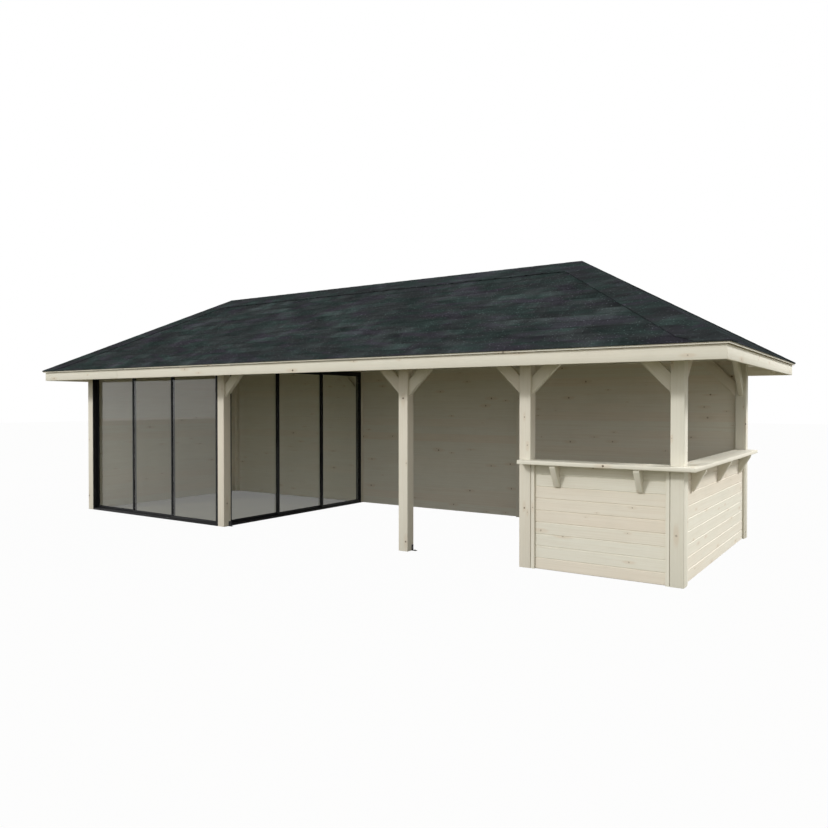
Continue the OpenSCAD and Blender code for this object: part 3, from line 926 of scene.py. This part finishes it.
def addUnderlay(bundle, side, half, depth, top, tone):
    section = [(0, top), (depth, top), (depth, roofShape["shinglePlumb"]), (0, roofShape["shinglePlumb"])]
    spots = acrossSlope(half, section)
    points = [slopePoint(side, x, y, down) for x, y, down in spots]
    grain = [(x, y / math.cos(roofShape["pitch"]), 0.0) for x, y, down in spots]
    addSolid(bundle, points, prismFaces(len(section)), grain, tone)


def addShingles(bundle, side, values, rng):
    cosine = math.cos(roofShape["pitch"])
    half = slopeHalf(side) - roofShape["play"]
    depth = min(roofShape["halfShort"], half)
    sheetTop = roofShape["shinglePlumb"] - values["underlay"] / cosine
    addUnderlay(bundle, side, half, depth, sheetTop, values["underlayTone"])
    step = values["exposure"] * cosine
    row = 0
    edge = 0.0
    while edge < depth - values["lastRow"]:
        inner = min(edge + step + values["lap"], depth)
        reach = half - edge
        x = -reach - (row % 2) * values["tab"] / 2 - rng.uniform(0, values["startSpread"])
        while x < reach:
            width = values["tab"] + rng.uniform(-values["tabSpread"], values["tabSpread"])
            left = max(x + values["slot"] / 2, -reach)
            right = min(x + width - values["slot"] / 2, reach)
            x += width
            if right - left < values["narrowest"]:
                continue
            low = edge + (rng.uniform(0, values["unevenEdge"]) if row else 0.0)
            lift = values["sunk"] * rng.random() ** values["sunkSkew"]
            corners = [(left, low, lift), (right, low, lift), (right, inner, values["butt"]),
                       (left, inner, values["butt"])]
            tone = min(max(rng.gauss(0.5, values["toneSpread"]), 0), 1)
            points, grain = [], []
            for bottom in (False, True):
                for cx, cy, down in corners:
                    limit = max(half - cy, roofShape["tip"])
                    cx = min(max(cx, -limit), limit)
                    deep = sheetTop - values["clear"] if bottom else down / cosine
                    points.append(slopePoint(side, cx, cy, deep))
                    grain.append((cx, cy / cosine, deep))
            if abs(points[3][0] - points[2][0]) + abs(points[3][1] - points[2][1]) < values["point"]:
                continue
            addSolid(bundle, points, tabFaces, grain, tone)
        edge += step
        row += 1


layOnSlopes(addShingles, shingleRows, "_shingles", "ShingleRows", shingleCover, 31)
print("roof shingled")


# Caps: folded pieces that overlap along the ridge and up each hip

capPieces = {
    "exposure": 0.20,
    "thin": 0.80,  # a cap's upper end to its lower one
    "overlap": 0.03,
    "eaveGap": 0.004,
    "shortest": 0.02,
    "ridgeDrop": 0.00002,
    "hipDrop": 0.0014,
    "toneSpread": 0.08,
    "grainDeep": 0.3,
}
foldFaces = [(6, 7, 10, 9), (7, 8, 11, 10), (0, 3, 4, 1), (1, 4, 5, 2), (0, 1, 7, 6), (1, 2, 8, 7), (3, 9, 10, 4),
             (4, 10, 11, 5), (0, 6, 9, 3), (2, 5, 11, 8)]


def addFold(bundle, rows, full, values, rng):
    # rows holds the lower and the upper end, each as three points on the shingles: one side, the fold, the other side
    cosine = math.cos(roofShape["pitch"])
    points, grain = [], []
    for bottom in (True, False):
        for row, head in zip(rows, (full, full * values["thin"])):
            for point, base in row:
                points.append((point[0], point[1], base + (roofShape["play"] if bottom else head)))
                grain.append((point[0], point[1] / cosine, point[1] * values["grainDeep"]))
    addSolid(bundle, points, foldFaces, grain, min(max(rng.gauss(0.5, values["toneSpread"]), 0), 1))


def hipCaps(bundle, signX, signY, values, rng):
    side = roofShape["capWidth"] * math.sqrt(2)
    width = roofShape["halfShort"]
    rise = roofShape["rise"]
    full = roofShape["capPlumb"] + roofShape["play"] - values["hipDrop"]

    def across(s):  # s is x + y in the plan, from the roof's corner up the hip
        hip = (s / 2, s / 2)
        longSide = ((s + side) / 2, (s - side) / 2)
        endSide = ((s - side) / 2, (s + side) / 2)
        if longSide[1] < 0:
            longSide = (s, 0.0)
        if endSide[0] < 0:
            endSide = (0.0, s)
        endSide = (endSide[0], min(endSide[1], width))
        return [((signX * (roofShape["halfLong"] - px), signY * (width - py)), roofShape["eaveZ"] + min(px, py) * rise)
                for px, py in (longSide, hip, endSide)]

    step = values["exposure"] * 2 / math.sqrt(2) * math.cos(math.atan(rise / math.sqrt(2)))
    s = 0.0
    while s < 2 * width - values["shortest"]:
        end = min(s + step + values["overlap"], 2 * width)
        addFold(bundle, [across(s if s else values["eaveGap"]), across(end)], full, values, rng)
        s += step


def ridgeCaps(bundle, values, rng):
    width = roofShape["capWidth"]
    base = roofShape["eaveZ"] + roofShape["halfShort"] * roofShape["rise"]
    drop = width * roofShape["rise"]
    full = roofShape["capPlumb"] + roofShape["play"] - values["ridgeDrop"]
    count = round(2 * roofShape["ridgeHalf"] / values["exposure"])
    step = 2 * roofShape["ridgeHalf"] / count
    for i in range(count):
        start = -roofShape["ridgeHalf"] + i * step
        end = min(start + step + values["overlap"], roofShape["ridgeHalf"])
        rows = [[((x, -width), base - drop), ((x, 0.0), base), ((x, width), base - drop)] for x in (start, end)]
        addFold(bundle, rows, full, values, rng)


rng = random.Random(41)
bundle = newBundle()
for signX in (-1, 1):
    for signY in (-1, 1):
        hipCaps(bundle, signX, signY, capPieces, rng)
ridgeCaps(bundle, capPieces, rng)
bundlePiece("ridgeAndHipFolds", bundle, capCover, "house", ["ridge_and_hip_caps"])
print("caps laid")


# Brush seals: two strips under each leaf, one on either side of its rail

brushStrips = {"bottom": 0.0235, "top": 0.036, "fromRail": 0.008, "thick": 0.003, "inset": 0.006, "leafHeight": 1.0}


def boxSolid(bundle, low, high):
    ring = [(low[0], low[1]), (high[0], low[1]), (high[0], high[1]), (low[0], high[1])]
    points = [(x, y, z) for z in (low[2], high[2]) for x, y in ring]
    addSolid(bundle, points, prismFaces(4), points, 0.5)


def addBrushes(bundle, low, high, values):
    along = 0 if high.x - low.x > high.y - low.y else 1
    middle = (low[1 - along] + high[1 - along]) / 2
    for side in (-1, 1):
        a, b = Vector(low), Vector(high)
        a[along], b[along] = low[along] + values["inset"], high[along] - values["inset"]
        a[1 - along] = middle + side * values["fromRail"] - values["thick"] / 2
        b[1 - along] = middle + side * values["fromRail"] + values["thick"] / 2
        a.z, b.z = values["bottom"], values["top"]
        boxSolid(bundle, a, b)


leafBodies = {node: body for node, body in metalNodes.items() if "leaf" in node}
for nodeName, body in leafBodies.items():
    bundle = newBundle()
    for low, high in solidBoxes(nodeName):
        if (high - low).length > brushStrips["leafHeight"]:
            addBrushes(bundle, low, high, brushStrips)
    title = pieceTitle(nodeName.replace("_frames", "").replace("_frame", ""), "Brushes")
    bundlePiece(title, bundle, brushSeal, body)
print("brush seals set")


# Coach screws with washers in the steel angles at the feet of the free posts

footScrews = {"head": 0.0075, "headThick": 0.0055, "washer": 0.0115, "washerThick": 0.0018, "plate": 0.003,
              "heights": (0.35, 0.78), "flangeShare": 0.62, "headSides": 6, "washerSides": 20}


def addRound(bundle, centre, axis, radius, thick, sides):
    axis = Vector(axis)
    across, other = grainFrame(axis)
    points = []
    for end in (0.0, thick):
        for i in range(sides):
            angle = 2 * math.pi * i / sides
            ring = across * (radius * math.cos(angle)) + other * (radius * math.sin(angle))
            points.append(centre + axis * end + ring)
    addSolid(bundle, points, prismFaces(sides), points, 0.5)


def addScrew(bundle, centre, axis, values):
    outer = centre + Vector(axis) * values["washerThick"]
    addRound(bundle, centre, axis, values["washer"], values["washerThick"], values["washerSides"])
    addRound(bundle, outer, axis, values["head"], values["headThick"], values["headSides"])


bundle = newBundle()
for low, high in solidBoxes("foot_brackets"):
    middle = (low.y + high.y) / 2
    for share in footScrews["heights"]:
        spot = Vector((low.x + footScrews["plate"], middle, low.z + (high.z - low.z) * share))
        addScrew(bundle, spot, (1, 0, 0), footScrews)
    spot = Vector((low.x + (high.x - low.x) * footScrews["flangeShare"], middle, low.z + footScrews["plate"]))
    addScrew(bundle, spot, (0, 0, 1), footScrews)
bundlePiece("footScrews", bundle, bracketSteel, "house")
print("foot screws set")


# Light: a plain bright surround and two soft lamps, from the front left and from the right

lightLevels = {
    "surround": 1.0,
    "frontLamp": {"energy": 1.35, "angle": 9.0, "from": (-0.45, -1.0, 0.69)},
    "sideLamp": {"energy": 2.6, "angle": 11.0, "from": (1.0, 1.09, 1.0)},
}


def plainGlow(tree, kind, strength):
    node = addNode(tree, kind)
    node.inputs[0].default_value = (1, 1, 1, 1)
    node.inputs[1].default_value = strength
    return node


def lightScene(values):
    world = bpy.data.worlds.new("studio")
    bpy.context.scene.world = world
    world.use_nodes = True
    tree = world.node_tree
    tree.nodes.clear()
    addNode(tree, "ShaderNodeOutputWorld")
    surround = plainGlow(tree, "ShaderNodeBackground", values["surround"])
    white = plainGlow(tree, "ShaderNodeBackground", 1.0)
    mixShaders(tree, rayMask(tree, "Is Camera Ray", "Is Glossy Ray", "Is Transmission Ray"), surround, white)
    for name in ("frontLamp", "sideLamp"):
        lamp = bpy.data.lights.new(name, "SUN")
        lamp.energy = values[name]["energy"]
        lamp.angle = math.radians(values[name]["angle"])
        holder = bpy.data.objects.new(name, lamp)
        holder.rotation_euler = Vector(values[name]["from"]).to_track_quat("Z", "Y").to_euler()
        bpy.context.scene.collection.objects.link(holder)


floorLook = {"colour": (0.15, 0.14, 0.09, 1), "roughness": 0.9, "reach": 60.0, "below": 0.0005, "glow": 0.975,
             "glowThroughGlass": 0.12}


def layFloor(values):
    mesh = bpy.data.meshes.new("studioFloor")
    r = values["reach"]
    mesh.from_pydata([(-r, -r, 0), (r, -r, 0), (r, r, 0), (-r, r, 0)], [], [(0, 1, 2, 3)])
    material, tree, shader = startMaterial("studioFloor")
    setInputs(shader, {"Base Color": values["colour"], "Roughness": values["roughness"], "Specular IOR Level": 0.0})
    strength = remap(tree, rayMask(tree, "Is Transmission Ray"), 0.0, 1.0, values["glow"],
                     values["glowThroughGlass"], False)
    share = times(tree, rayMask(tree, "Is Camera Ray", "Is Glossy Ray", "Is Transmission Ray"), strength)
    mixShaders(tree, share, shader, plainGlow(tree, "ShaderNodeEmission", 1.0))
    mesh.materials.append(material)
    floor = bpy.data.objects.new("studioFloor", mesh)
    floor.location = (0, 0, -values["below"])
    bpy.context.scene.collection.objects.link(floor)


lightScene(lightLevels)
layFloor(floorLook)
print("studio lit")
